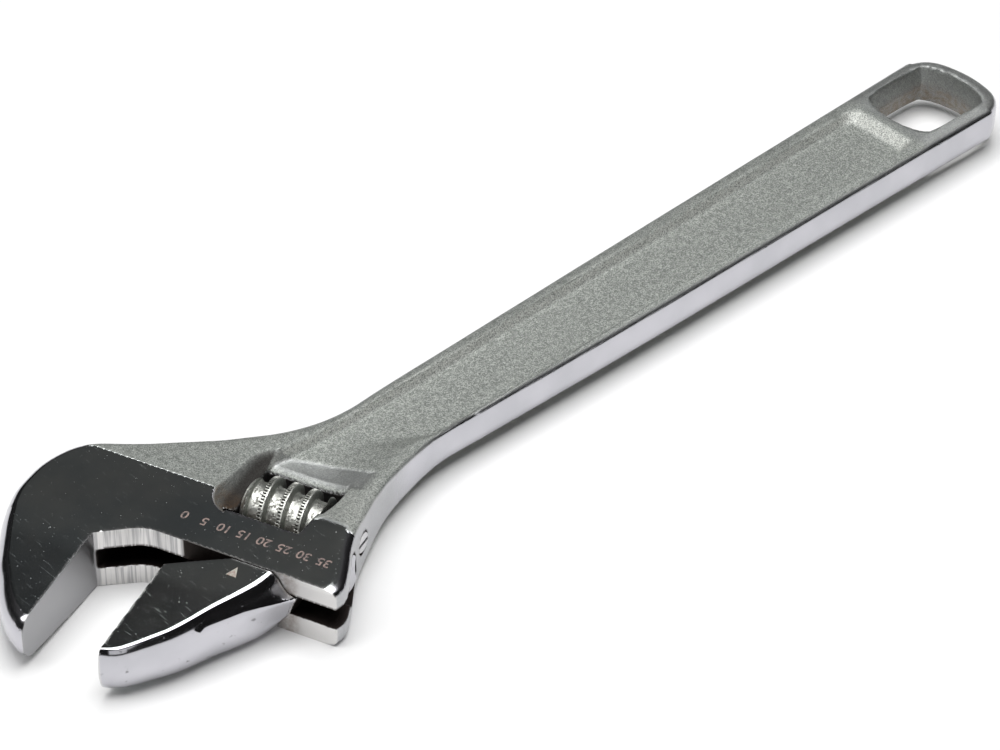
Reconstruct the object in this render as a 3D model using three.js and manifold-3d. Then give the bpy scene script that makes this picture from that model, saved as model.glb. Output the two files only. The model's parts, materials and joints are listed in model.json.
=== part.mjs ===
// Adjustable wrench, 300 mm class: a forged body with its fixed jaw, a sliding jaw with a rack, the
// adjusting worm in the body's window, the worm's pin and the worm's friction spring.
// Millimetres, +X along the handle from head to hanging hole, +Z up, origin under the middle of the part.
import * as THREE from 'three';
import { mergeVertices } from 'three/addons/utils/BufferGeometryUtils.js';
import Module from 'manifold-3d';

const wasm = await Module();
wasm.setup();

// ---------------------------------------------------------------- driving dimensions
const fit = 0.3;                 // clearance between pieces that slide, turn or rest on each other

// Head. Its frame has u along the jaw's travel, v from the mouth towards the handle, and the throat
// corner, where the fixed jaw's face meets the throat, at u = v = 0.
const headTurn = 20;             // degrees between the jaw faces and the square of the handle
const headThick = 16.4;          // across the two ground faces
const sideBulge = 3.5;           // how far the forged sides stand out at mid-thickness
const partingBand = 1;           // flat band left by the forging's parting line
const jawReach = 29;             // from throat corner to jaw tip
const jawTipThick = 11.6;        // both jaws thin towards their tips
const jawRoot = 22;              // the fixed jaw's thickness along u beside the throat
const groundEnd = 25.5;          // v where the ground face ends and the forged slope starts
const headLength = 62;           // v where the forged slope has come down to the handle
const headFar = 55;              // u of the head's right corner on the ground face
const guideDepth = 6.7;          // v of the two edges that the sliding jaw rides on
const throatRun = 8.2;           // u where the sloped throat wall turns into the guide
const throatDrop = 5.8;          // v at that turn

// Channel and slot for the sliding jaw's rack
const channelRadius = 5.7;
const channelCentre = 19.8;      // v of the channel's and the rack bar's axis
const channelEnd = -7.3;         // u of the channel's blind end
const slotWidth = 5.65;
const slotStart = 0.3;           // u where the slot begins

// Jaw travel
const opening = 19.1;            // gap between the jaws as modelled
const jawBack = 19.5;            // the sliding jaw's width along u beside the guide
const rackLength = 40.7;
const rackLead = 6.7;            // how far the rack bar reaches past the sliding jaw's face

// Worm, its window, pin and spring
const windowStart = 21.8;        // u
const windowLength = 19.1;
const windowFront = 20;          // v
const windowGap = 0.8;           // between the worm and the window's back wall
const wormRadius = 8.1;
const threadBite = 1.8;          // how deep the thread reaches into the rack
const pitch = 4.8;
const threadDepth = 2.2;
const crestWidth = 1.3;
const rootWidth = 2.5;           // the thread's width where it meets the core
const threadPhase = 28.4;        // u of a crest's middle where it faces the rack
const wormChamfer = 0.8;
const pinRadius = 1.9;
const pinHeadRadius = 2.7;
const pinHeadLength = 2.4;
const pinBite = 7;               // how deep the pin sits in the window's left wall
const pinSeatInset = 8.1;        // from the head's right corner to the seat of the pin's head
const pinSlotDepth = 0.9;
const pinSlotWidth = 0.9;
const springWire = 0.7;
const springRadius = 2.9;        // to the middle of the wire
const springTurns = 3.5;
const springPocket = 5;          // depth of the spring's pocket in the worm

// Handle. x is measured from the throat corner along the handle.
const handleEnd = 276;           // x of the handle's end
const handleOffset = 14.85;      // from the throat corner to the handle's axis
const neckX = 86;                // x of the handle's narrowest place
const neckWidth = 23.6;
const endWidth = 29.6;
const handleThick = 10.8;
const handleSide = 2.2;          // how far the handle's sides are rounded out
const endCorner = 6.5;           // radius of the handle end's corners
const endCrown = 2.2;            // how far the end stands out in its middle
const recessFloor = 6.6;         // thickness left between the two recesses
const holeGap = 2.9;             // left between the recess and the hanging hole
const rimWidth = 3.2;            // from the handle's side to the recess
const recessSlope = 1.6;         // how far the recess's walls lean
const holeLength = 25.3;
const holeWidth = 21.2;
const holeCorner = 3;
const holeCrown = 1.6;
const holeRim = 5;               // from the hole to the handle's end

// ---------------------------------------------------------------- places that follow from them
const turn = THREE.MathUtils.degToRad(headTurn);
const halfHead = headThick / 2;
const halfHandle = handleThick / 2;
const windowEnd = windowStart + windowLength;
const wormCentre = channelCentre + channelRadius - fit + wormRadius - threadBite;
const windowBack = wormCentre + wormRadius + windowGap;
const pinSeat = headFar - pinSeatInset;
const wormStart = windowStart + fit;
const wormLength = windowLength - 2 * fit;
const crestSide = crestWidth / 2;
const rootSide = rootWidth / 2;
const coreRadius = wormRadius - threadDepth;
const handleY = -handleOffset;
const holeEnd = handleEnd - holeRim;
const recessEnd = holeEnd - holeLength - holeGap;

// A place in the head's frame, in the handle's x and y.
function fromHead(u, v) {
  return new THREE.Vector2(
    u * Math.sin(turn) + v * Math.cos(turn),
    -u * Math.cos(turn) + v * Math.sin(turn),
  );
}

// The same the other way: a place on the handle, in the head's frame.
function toHead(x, y) {
  return [x * Math.sin(turn) - y * Math.cos(turn), x * Math.cos(turn) + y * Math.sin(turn)];
}

// Half the handle's width at x, at mid-thickness.
function handleHalf(x) {
  const share = Math.max(0, (x - neckX) / (handleEnd - neckX));
  return (neckWidth + (endWidth - neckWidth) * share) / 2;
}

// ---------------------------------------------------------------- solids
function solidOf(geometry) {
  const bare = geometry.clone();
  bare.deleteAttribute('normal');
  bare.deleteAttribute('uv');
  const joined = mergeVertices(bare, 1e-5);
  return new wasm.Manifold(new wasm.Mesh({
    numProp: 3,
    vertProperties: new Float32Array(joined.attributes.position.array),
    triVerts: new Uint32Array(joined.index.array),
  }));
}

function meshOf(name, solid, material) {
  const mesh = solid.getMesh();
  const geometry = new THREE.BufferGeometry();
  geometry.setAttribute('position', new THREE.BufferAttribute(mesh.vertProperties, 3));
  geometry.setIndex(new THREE.BufferAttribute(mesh.triVerts, 1));
  const flat = geometry.toNonIndexed();
  flat.computeVertexNormals();
  const node = new THREE.Mesh(flat, material);
  node.name = name;
  return node;
}

function shapeOf(points) {
  return new THREE.Shape(points.map(([x, y]) => new THREE.Vector2(x, y)));
}

// A plate of the outline between z and z + height, its walls upright.
function plate(points, z, height) {
  const geometry = new THREE.ExtrudeGeometry(shapeOf(points), { depth: height, bevelEnabled: false });
  return solidOf(geometry.translate(0, 0, z));
}

// A forged plate about z = 0: the outline is its flat faces' edge, and its sides swell out between.
function forged(points, half, swell, segments) {
  const geometry = new THREE.ExtrudeGeometry(shapeOf(points), {
    depth: partingBand,
    bevelThickness: half - partingBand / 2,
    bevelSize: swell,
    bevelSegments: segments,
  });
  return solidOf(geometry.translate(0, 0, -partingBand / 2));
}

// A round bar along u, from start, given by its profile of [distance along, radius] pairs.
function turned(profile, start, v, segments, firstAngle = 0) {
  const points = profile.map(([along, radius]) => new THREE.Vector2(radius, along));
  const geometry = new THREE.LatheGeometry(points, segments, firstAngle);
  return solidOf(geometry.rotateZ(-Math.PI / 2).translate(start, v, 0));
}

function bar(radius, start, length, v, segments, firstAngle = 0) {
  return turned([[0, 0], [0, radius], [length, radius], [length, 0]], start, v, segments, firstAngle);
}

// A screw thread round the u axis at v: a straight rib, wound so that it climbs one pitch a turn.
// Its crest's middle faces the rack at u = phase. extra makes it larger all over.
function thread(start, length, v, phase, extra, stepsPerTurn) {
  const turns = Math.ceil(length / pitch) + 2;
  const inner = coreRadius - 0.6;
  const outer = wormRadius + extra;
  const lean = (rootSide - crestSide) / threadDepth;
  const crest = crestSide + extra;
  const foot = crest + lean * (outer - inner);
  const rib = shapeOf([[inner, -foot], [outer, -crest], [outer, crest], [inner, foot]]);
  const geometry = new THREE.ExtrudeGeometry(rib, {
    depth: turns,
    steps: turns * stepsPerTurn,
    bevelEnabled: false,
  });
  const firstCrest = phase - pitch * Math.ceil((phase - start) / pitch + 1);
  const place = geometry.attributes.position;
  for (let i = 0; i < place.count; i += 1) {
    const angle = place.getZ(i) * 2 * Math.PI;
    const radius = place.getX(i);
    const along = firstCrest - place.getY(i) + place.getZ(i) * pitch;
    place.setXYZ(i, along, v - radius * Math.cos(angle), -radius * Math.sin(angle));
  }
  return solidOf(geometry);
}

// A thread's rib and core between two ends.
function screw(start, length, v, phase, extra, stepsPerTurn) {
  const rib = thread(start, length, v, phase, extra, stepsPerTurn);
  const core = bar(coreRadius + extra, start, length, v, stepsPerTurn + 4);
  return core.add(rib);
}

// A solid made in the head's frame, in the handle's frame.
function headToHandle(solid) {
  return solid.rotate([0, 0, headTurn - 90]);
}

// ---------------------------------------------------------------- forging profiles
// Half the head's thickness at v: thinner towards the jaw tips, and sloping down to the handle.
function headHalf(v) {
  if (v < 0) return halfHead - (halfHead - jawTipThick / 2) * (-v / jawReach);
  if (v < groundEnd) return halfHead;
  const share = Math.min(1, (v - groundEnd) / (headLength - groundEnd));
  return halfHandle + (halfHead - halfHandle) * (1 - share) ** 2;
}

// How far the swelled side stands past the outline at v, where the face is lower than the blank's.
function swellAt(v) {
  const blank = halfHead - partingBand / 2;
  const height = Math.min(1, Math.max(0, (headHalf(v) - partingBand / 2) / blank));
  return sideBulge * Math.sqrt(1 - height * height);
}

// The block that holds everything between the head's two faces.
function headFaces(uFrom, uTo) {
  const stops = [-jawReach - 12, 0, groundEnd];
  const slopeSteps = 8;
  for (let i = 1; i <= slopeSteps; i += 1) {
    stops.push(groundEnd + (headLength - groundEnd) * i / slopeSteps);
  }
  stops.push(headLength + 60);
  const upper = stops.map((v) => [v, headHalf(v)]);
  const lower = stops.map((v) => [v, -headHalf(v)]).reverse();
  const geometry = new THREE.ExtrudeGeometry(shapeOf([...upper, ...lower]), {
    depth: uTo - uFrom,
    bevelEnabled: false,
  });
  const place = geometry.attributes.position;
  for (let i = 0; i < place.count; i += 1) {
    place.setXYZ(i, uFrom + place.getZ(i), place.getX(i), place.getY(i));
  }
  return solidOf(geometry);
}

// The throat wall and the guide, from the fixed jaw's face to past the head's right corner.
function mouthLine(gap, uTo) {
  return [
    [0, 0],
    [throatRun, throatDrop],
    [throatRun + 2.2, guideDepth - 0.3],
    [throatRun + 4.3, guideDepth],
    [uTo, guideDepth],
  ].map(([u, v]) => [u, v - gap]);
}

// ---------------------------------------------------------------- body
function headBlank() {
  const right = headFar;
  const left = -jawRoot;
  const neckSide = neckWidth / 2 - sideBulge;
  const edge = [
    [right - 0.3, guideDepth - 1.5],
    [right + 0.2, 9.5],
    [right - 2.2, 16.6],
    [right - 4.1, 21],
    [right - 6.2, 27.7],
    [right - 8.2, 34],
    [right - 9.6, 41],
    [right - 10, 48.3],
    [right - 9.2, 57],
    toHead(neckX - 8, handleY - neckSide + 0.8),
    toHead(neckX - 3, handleY - neckSide + 3),
    toHead(neckX - 3, handleY + neckSide - 3),
    toHead(neckX - 8, handleY + neckSide - 0.8),
    [left + 53.4, 65.6],
    [left + 49.9, 59.3],
    [left + 46, 53.7],
    [left + 37.1, 44.9],
    [left + 27.8, 37.7],
    [left + 18, 31.3],
    [left + 12.9, 28.2],
    [left + 6, groundEnd - 1],
    [left + 2.1, 18.9],
    [left + 0.3, 13.5],
    [left + 0.3, 7],
    [left + 1.2, 1.6],
  ];
  // The fixed jaw's outer side runs to its tip on the ground face, so the swell is taken off it.
  const outer = [[5.2, -7.7], [9.7, -16.4], [14.9, -24]];
  outer.forEach(([du, v]) => edge.push([left + du + swellAt(v) * 0.85, v + swellAt(v) * 0.5]));
  edge.push([-0.9, -jawReach + swellAt(-jawReach)]);
  edge.push([2, -jawReach + swellAt(-jawReach)]);
  edge.push([2, -jawReach / 2]);
  edge.push([2, guideDepth - 1.5]);
  const sharp = 4;
  const smooth = smoothSpan(edge.slice(0, -sharp + 1), 110);
  return [...smooth, ...edge.slice(-sharp + 1)];
}

// An open outline through the given points, rounded between them as a spline.
function smoothSpan(points, count) {
  const curve = new THREE.CatmullRomCurve3(points.map(([x, y]) => new THREE.Vector3(x, y, 0)), false);
  return curve.getSpacedPoints(count).map((p) => [p.x, p.y]);
}

function head() {
  const blank = forged(headBlank(), halfHead, sideBulge, 4);
  const faces = headFaces(-jawRoot - 20, headFar + 30);
  const past = headFar + 20;
  const mouth = plate(
    [...mouthLine(0, past), [past, -jawReach - 20], [0, -jawReach - 20]].reverse(),
    -headThick,
    2 * headThick,
  );
  return headToHandle(blank.intersect(faces).subtract(mouth));
}

function endArc(x, half, corner, crown) {
  const shape = new THREE.Shape();
  shape.moveTo(x - corner, -half);
  shape.quadraticCurveTo(x - corner * 0.2, -half, x, -half + corner);
  shape.quadraticCurveTo(x + crown, 0, x, half - corner);
  shape.quadraticCurveTo(x - corner * 0.2, half, x - corner, half);
  return shape.getPoints(8).map((p) => [p.x, p.y]);
}

function handleBlank() {
  const inset = handleSide;
  const start = neckX - 34;
  const near = [];
  const sideSteps = 6;
  for (let i = 0; i <= sideSteps; i += 1) {
    const x = start + (handleEnd - endCorner - 12 - start) * i / sideSteps;
    near.push([x, inset - handleHalf(x)]);
  }
  const end = endArc(handleEnd - endCrown / 2 - inset, endWidth / 2 - inset, endCorner - inset, endCrown);
  const far = near.map(([x, y]) => [x, -y]).reverse();
  return [...near, ...end, ...far].map(([x, y]) => [x, y + handleY]);
}

// The recess's floor outline: full width along the handle, and running up to the worm's window.
function recessOutline() {
  const inset = rimWidth + recessSlope;
  const end = recessEnd - recessSlope * 2;
  const near = fromHead(windowEnd - recessSlope, windowBack - 3);
  const far = fromHead(windowStart + 1.2, windowBack - 0.6);
  const half = (x) => handleHalf(x) - inset;
  return [
    [near.x, near.y],
    [neckX - 16, handleY - half(neckX) - 0.4],
    [neckX + 8, handleY - half(neckX + 8)],
    [end - 4, handleY - half(end)],
    [end - 1, handleY - half(end) + 1],
    [end, handleY - half(end) + 4],
    [end, handleY + half(end) - 4],
    [end - 1, handleY + half(end) - 1],
    [end - 4, handleY + half(end)],
    [neckX + 8, handleY + half(neckX + 8)],
    [neckX - 16, handleY + half(neckX) + 0.6],
    [neckX - 29, handleY + half(neckX) + 0.3],
    [far.x, far.y],
  ];
}

function recess() {
  const depth = halfHead;
  const geometry = new THREE.ExtrudeGeometry(shapeOf(recessOutline()), {
    depth,
    bevelThickness: halfHandle - recessFloor / 2,
    bevelSize: recessSlope,
    bevelSegments: 1,
  });
  return solidOf(geometry.translate(0, 0, halfHandle));
}

function hangingHole() {
  const half = holeWidth / 2;
  const centre = holeEnd - holeLength / 2;
  const reach = holeLength / 2 - holeCrown / 2;
  const side = endArc(reach, half, holeCorner, holeCrown);
  const outline = [...side, ...side.map(([x, y]) => [-x, -y])];
  return plate(outline.map(([x, y]) => [x + centre, y + handleY]), -handleThick, 2 * handleThick);
}

// What is cut away for the rack, the worm and its pin, in the head's frame.
function workings() {
  const past = headFar + 20;
  const channel = bar(channelRadius, channelEnd, past - channelEnd, channelCentre, 28);
  const slot = plate([
    [slotStart, -jawReach],
    [past, -jawReach],
    [past, channelCentre],
    [slotStart, channelCentre],
  ], -slotWidth / 2, slotWidth);
  const window = plate([
    [windowStart, windowFront],
    [windowEnd, windowFront],
    [windowEnd, windowBack],
    [windowStart, windowBack],
  ], -headThick, 2 * headThick);
  const pinFrom = windowStart - pinBite;
  const pinHole = bar(pinRadius + fit, pinFrom - fit, past - pinFrom, wormCentre, 20);
  const headHole = bar(pinHeadRadius + fit, pinSeat - fit, past - pinSeat, wormCentre, 20);
  return [channel, slot, window, pinHole, headHole].map(headToHandle);
}

function body() {
  let solid = forged(handleBlank(), halfHandle, handleSide, 4).add(head());
  workings().forEach((cut) => {
    solid = solid.subtract(cut);
  });
  const upper = recess();
  solid = solid.subtract(upper).subtract(upper.mirror([0, 0, 1]));
  return solid.subtract(hangingHole());
}

// ---------------------------------------------------------------- sliding jaw, in the head's frame
function jawOutline() {
  const face = opening;
  const back = opening + jawBack;
  const tip = -jawReach;
  const backPoints = [
    [face + 1.2, tip + 0.6],
    [face + 5.4, -25.5],
    [face + 11.2, -18.1],
    [face + 15.6, -8.5],
    [back - 0.8, -1.8],
    [back + 2.1, guideDepth],
  ];
  const outer = backPoints.map(([u, v]) => [u - swellAt(v) * 0.85, v + swellAt(v) * 0.5]);
  outer[0] = [face + 0.4, tip + swellAt(tip)];
  return [
    [face - 2, tip + swellAt(tip)],
    ...smoothSpan(outer, 24),
    [back + 2.1, guideDepth + 2],
    [face - 2, guideDepth + 2],
  ];
}

function jawHook() {
  const face = opening;
  const blank = forged(jawOutline(), halfHead, sideBulge, 4);
  const faces = headFaces(face - 20, headFar + 40);
  const rearRun = (guideDepth - fit + 1.6) / Math.tan(THREE.MathUtils.degToRad(32.5));
  const keep = plate([
    [face, -jawReach - 10],
    [headFar + 30, -jawReach - 10],
    [headFar + 30, guideDepth - fit],
    [face + rearRun, guideDepth - fit],
    [face, -1.6],
  ], -headThick, 2 * headThick);
  return blank.intersect(faces).intersect(keep);
}

function slidingJaw() {
  const webHalf = slotWidth / 2 - fit;
  const webFrom = opening + slotStart + fit;
  const back = opening + jawBack;
  const webTo = back + 9;
  const web = plate([
    [webFrom, -2],
    [back - 2, -6],
    [back + 3.5, 1.5],
    [webTo, guideDepth],
    [webTo, channelCentre - 2],
    [webFrom, channelCentre - 2],
  ], -webHalf, 2 * webHalf);
  const rackFrom = opening - rackLead;
  const rackBar = bar(channelRadius - fit, rackFrom, rackLength, channelCentre, 28);
  const wormSpace = screw(rackFrom - pitch, rackLength + 2 * pitch, wormCentre, threadPhase, fit, 28);
  return jawHook().add(web).add(rackBar.subtract(wormSpace));
}

// ---------------------------------------------------------------- worm, pin and spring
function worm() {
  const clear = 0.4;
  const ends = turned([
    [0, 0],
    [0, wormRadius - wormChamfer],
    [wormChamfer + clear, wormRadius + clear],
    [wormLength - wormChamfer - clear, wormRadius + clear],
    [wormLength, wormRadius - wormChamfer],
    [wormLength, 0],
  ], wormStart, wormCentre, 28, 0.03);
  const wound = screw(wormStart - 1, wormLength + 2, wormCentre, threadPhase, 0, 24);
  const bore = bar(pinRadius + fit, wormStart - 2, wormLength + 4, wormCentre, 16);
  const pocket = bar(springRadius + springWire / 2 + fit, wormStart - 1, springPocket + 1, wormCentre, 16);
  return wound.intersect(ends).subtract(bore).subtract(pocket);
}

function pin() {
  const from = windowStart - pinBite;
  const shank = bar(pinRadius, from, pinSeat - from + 1, wormCentre, 20);
  const cap = bar(pinHeadRadius, pinSeat, pinHeadLength, wormCentre, 20);
  const top = pinSeat + pinHeadLength;
  const slot = plate([
    [top - pinSlotDepth, wormCentre - pinHeadRadius - 1],
    [top + 1, wormCentre - pinHeadRadius - 1],
    [top + 1, wormCentre + pinHeadRadius + 1],
    [top - pinSlotDepth, wormCentre + pinHeadRadius + 1],
  ], -pinSlotWidth / 2, pinSlotWidth);
  return shank.add(cap).subtract(slot);
}

class Coil extends THREE.Curve {
  getPoint(share, target = new THREE.Vector3()) {
    const angle = share * springTurns * 2 * Math.PI;
    const run = springPocket - 2 * fit - springWire;
    return target.set(
      wormStart + springWire / 2 + share * run,
      wormCentre + springRadius * Math.cos(angle),
      springRadius * Math.sin(angle),
    );
  }
}

function spring() {
  const wire = new THREE.Shape();
  wire.absarc(0, 0, springWire / 2, 0, 2 * Math.PI);
  const geometry = new THREE.ExtrudeGeometry(wire, {
    steps: Math.round(springTurns * 14),
    curveSegments: 6,
    extrudePath: new Coil(),
  });
  return solidOf(geometry);
}

// ---------------------------------------------------------------- the part
const forgedSteel = new THREE.MeshStandardMaterial({ color: 0x9a9c9e, roughness: 0.42, metalness: 1 });
const groundSteel = new THREE.MeshStandardMaterial({ color: 0x6e7374, roughness: 0.25, metalness: 1 });
const zincSteel = new THREE.MeshStandardMaterial({ color: 0xb9bdb6, roughness: 0.35, metalness: 1 });
const pinSteel = new THREE.MeshStandardMaterial({ color: 0x8d8f90, roughness: 0.4, metalness: 1 });
const springSteel = new THREE.MeshStandardMaterial({ color: 0x5d5f61, roughness: 0.35, metalness: 1 });

const wrench = new THREE.Group();
const nodes = [
  meshOf('body', body(), forgedSteel),
  meshOf('sliding_jaw', headToHandle(slidingJaw()), groundSteel),
  meshOf('adjusting_worm', headToHandle(worm()), zincSteel),
  meshOf('worm_pin', headToHandle(pin()), pinSteel),
  meshOf('worm_spring', headToHandle(spring()), springSteel),
];
nodes.forEach((node) => wrench.add(node));

// The origin is under the middle of the part's box.
const box = new THREE.Box3().setFromObject(wrench);
const middle = box.getCenter(new THREE.Vector3());
wrench.position.set(-middle.x, -middle.y, -box.min.z);

export default wrench;
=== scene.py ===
import json
import math

import bpy
import numpy as np
from bpy.props import FloatProperty, FloatVectorProperty, IntProperty, PointerProperty
from mathutils import Matrix, Vector


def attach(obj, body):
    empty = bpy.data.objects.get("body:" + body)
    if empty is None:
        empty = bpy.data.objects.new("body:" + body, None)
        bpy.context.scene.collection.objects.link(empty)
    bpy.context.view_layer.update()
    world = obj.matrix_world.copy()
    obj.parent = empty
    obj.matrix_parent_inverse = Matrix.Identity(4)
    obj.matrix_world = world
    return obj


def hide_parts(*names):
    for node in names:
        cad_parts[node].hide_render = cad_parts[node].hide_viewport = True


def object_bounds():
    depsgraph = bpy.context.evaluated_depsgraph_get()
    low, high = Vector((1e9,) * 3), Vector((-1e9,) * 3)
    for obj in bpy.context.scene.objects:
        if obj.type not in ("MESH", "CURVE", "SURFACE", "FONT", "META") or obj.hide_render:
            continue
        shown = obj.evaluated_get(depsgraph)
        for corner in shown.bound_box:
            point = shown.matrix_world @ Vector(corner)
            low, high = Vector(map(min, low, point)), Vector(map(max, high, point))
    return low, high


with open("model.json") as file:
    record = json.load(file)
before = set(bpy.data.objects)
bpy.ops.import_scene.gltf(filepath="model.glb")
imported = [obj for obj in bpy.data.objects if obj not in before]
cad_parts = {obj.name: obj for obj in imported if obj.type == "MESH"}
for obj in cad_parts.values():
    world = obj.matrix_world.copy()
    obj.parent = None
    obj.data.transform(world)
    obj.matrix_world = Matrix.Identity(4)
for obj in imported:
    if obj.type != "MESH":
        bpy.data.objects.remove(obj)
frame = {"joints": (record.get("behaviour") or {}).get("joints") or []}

bl_info = {
    "name": "Adjustable wrench",
    "version": (1, 0, 0),
    "blender": (4, 5, 0),
    "location": "View3D > Sidebar > Wrench",
    "description": "Builds a forged adjustable wrench around its engineering model",
    "category": "Add Mesh",
}

# ------------------------------------------------------------------ places, from the frame
# The shapes are worked out in millimetres from the throat corner, where the fixed jaw's face meets
# the throat, at mid-thickness: x runs along the handle, z up. In the head, u runs the way the jaw
# opens and v from the mouth towards the handle.
CAD_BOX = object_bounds()
JOINTS = {joint["name"]: joint for joint in frame["joints"]}
OPENS = Vector(JOINTS["jaw_slide"]["axis"]).normalized()
TURN = math.atan2(OPENS.x, -OPENS.y)
SIN, COS = math.sin(TURN), math.cos(TURN)
WORM_MID = 31.35            # u of the worm's middle
WORM_AXIS = 31.5            # v of the worm's axis
INWARD = Vector((COS, SIN, 0.0))
THROAT = Vector(JOINTS["worm_spin"]["pos_m"]) - (OPENS * WORM_MID + INWARD * WORM_AXIS) * 0.001
HALF_HEAD = (CAD_BOX[1].z - CAD_BOX[0].z) * 500 - 0.02      # just inside the solid's thickness
HEAD_TO_PART = Matrix((
    (OPENS.x, INWARD.x, 0, THROAT.x),
    (OPENS.y, INWARD.y, 0, THROAT.y),
    (0, 0, 1, THROAT.z),
    (0, 0, 0, 1),
)) @ Matrix.Diagonal((0.001, 0.001, 0.001, 1))
HANDLE_TO_PART = Matrix.Translation(THROAT) @ Matrix.Diagonal((0.001, 0.001, 0.001, 1))
CAMERA_PLACE = Vector((-0.3857, -0.5374, 0.6014))      # from the throat corner, in metres

# ------------------------------------------------------------------ sizes in millimetres
HALF_HANDLE = 5.4
HALF_WEB = 3.3              # the web between the handle's two recesses
RIDGE = 25.2                # v where the ground face ends and the forged slope starts
SLOPE_RUN = 37.0            # v from the ridge to where the slope meets the handle
JAW_TAPER = 0.083           # how fast the jaws thin towards their tips
HEAD_SWELL = 2.6            # how far the forged sides stand out at mid-thickness
HANDLE_SWELL = 2.0
HOLE_CROWN = 1.3            # how far the hanging hole's wall stands in at mid-thickness
HALF_SLOT = 2.82
CHANNEL_RADIUS = 5.7
CHANNEL_AXIS = 19.8         # v
CHANNEL_END = -7.3          # u
WINDOW = (21.8, 40.8, 20.0, 40.4)   # u and v of the worm's window
PIN_HOLE = 2.2              # radius of the pin's bore, in the head and in the worm
PIN_HOLE_END = 14.5         # u of the bore's blind end
PIN_SEAT = 46.9             # u where the pin's head sits
PIN_HEAD = 2.7              # radius
PIN_SHANK = 1.9             # radius
PIN_TOP = 50.7              # u of the pin's slotted end, flush with the head's side
PIN_GAP = 0.3               # between the pin and the ends of its bore
SPRING_BORE = 3.55          # radius of the worm's pocket for the spring
SPRING_DEPTH = 5.0
OPENING = 19.1              # between the jaw faces
GUIDE = 6.7                 # v of the edges that the sliding jaw rides on
THROAT_SLOPE = 0.707        # the throat's corner wall leaves the fixed jaw's face at 45 degrees
JAW_GAP = 0.3
REAR_ANGLE = math.radians(32.5)     # of the sliding jaw's short face behind its tip, to u
REAR_START = -1.6           # v where that face leaves the jaw's gripping face
RACK_START, RACK_END = 12.4, 53.1   # u
WORM_RADIUS = 8.1
WORM_CORE = 5.9
WORM_START, WORM_END = 22.1, 40.6   # u
PITCH = 4.8
CREST_AT = 28.4             # u of a crest's middle where it faces the rack
CREST_HALF, ROOT_HALF = 0.72, 0.95
KNURLS = 66                 # notches round the worm's crest
KNURL_DEPTH = 0.5
SCALE_ROW = 14.25           # v of the middle of the numerals
SCALE_ZERO = 15.33          # u of the scale's zero
NUMERAL_SIZE = 3.5
MARK_LIFT = 0.012           # how far an etched mark's film stands above the ground face

# ------------------------------------------------------------------ softened edges in millimetres
CUT_BLENDS = {"mouth": 0.0, "slot": 0.3, "channel": 0.25, "window": 0.5, "scoop": 0.8, "pin": 0.25}
TAPER_BLEND = 8.0           # of the bend where the jaws start to thin
HOLE_BLEND = 0.7
ON_SURFACE = 0.12           # a point this near to a cut's surface lies on it
SHARP_ANGLE = math.radians(35)      # faces that meet at more than this have a crisp edge


# ------------------------------------------------------------------ soft blends of distances
def least(a, b, blend=0.0):
    """The smaller of two fields, rounded over where they cross if blend is above 0."""
    if blend <= 0:
        return np.minimum(a, b)
    near = np.maximum(blend - np.abs(a - b), 0) / blend
    return np.minimum(a, b) - near * near * blend / 4


def most(a, b, blend=0.0):
    """The larger of two fields, rounded over where they cross if blend is above 0."""
    return -least(-a, -b, blend)


def most_varying(a, b, blend):
    """most() with a blend that changes from place to place."""
    near = np.maximum(blend - np.abs(a - b), 0) / blend
    return np.maximum(a, b) + near * near * blend / 4


def least_varying(a, b, blend):
    """least() with a blend that changes from place to place."""
    return -most_varying(-a, -b, blend)


def rise(value, low, high):
    """0 below low, 1 above high and smooth between; it falls instead if low is above high."""
    share = np.clip((value - low) / (high - low), 0, 1)
    return share * share * (3 - 2 * share)


def head_frame(x, y):
    """u and v in the head, from x and y along the handle."""
    return x * SIN - y * COS, x * COS + y * SIN


def handle_frame(u, v):
    """x and y along the handle, from u and v in the head."""
    return u * SIN + v * COS, -u * COS + v * SIN


# ------------------------------------------------------------------ outlines
def smooth_line(points, per_span):
    """Points along a spline through the given ones, with so many to each span."""
    p = np.array(points, float)
    p = np.vstack([2 * p[0] - p[1], p, 2 * p[-1] - p[-2]])
    t = np.linspace(0, 1, per_span, endpoint=False)[:, None]
    line = []
    for a, b, c, d in zip(p[:-3], p[1:-2], p[2:-1], p[3:]):
        line.append(0.5 * (2 * b + (c - a) * t + (2 * a - 5 * b + 4 * c - d) * t * t
                           + (3 * b - a - 3 * c + d) * t ** 3))
    return np.vstack([*line, p[-2:-1]])


def outline_distance(x, y, line):
    """Distance to a closed outline, negative inside it."""
    x, y = np.broadcast_arrays(x, y)
    nearest = np.full(x.shape, 1e12)
    inside = np.zeros(x.shape, bool)
    for (ax, ay), (bx, by) in zip(line, np.roll(line, -1, axis=0)):
        ex, ey = bx - ax, by - ay
        if ex * ex + ey * ey < 1e-12:
            continue
        px, py = x - ax, y - ay
        share = np.clip((px * ex + py * ey) / (ex * ex + ey * ey), 0, 1)
        nearest = np.minimum(nearest, (px - ex * share) ** 2 + (py - ey * share) ** 2)
        if ey != 0:
            crosses = (ay > y) != (by > y)
            inside ^= crosses & (px < ex * py / ey)
    return np.where(inside, -1, 1) * np.sqrt(nearest)


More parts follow.
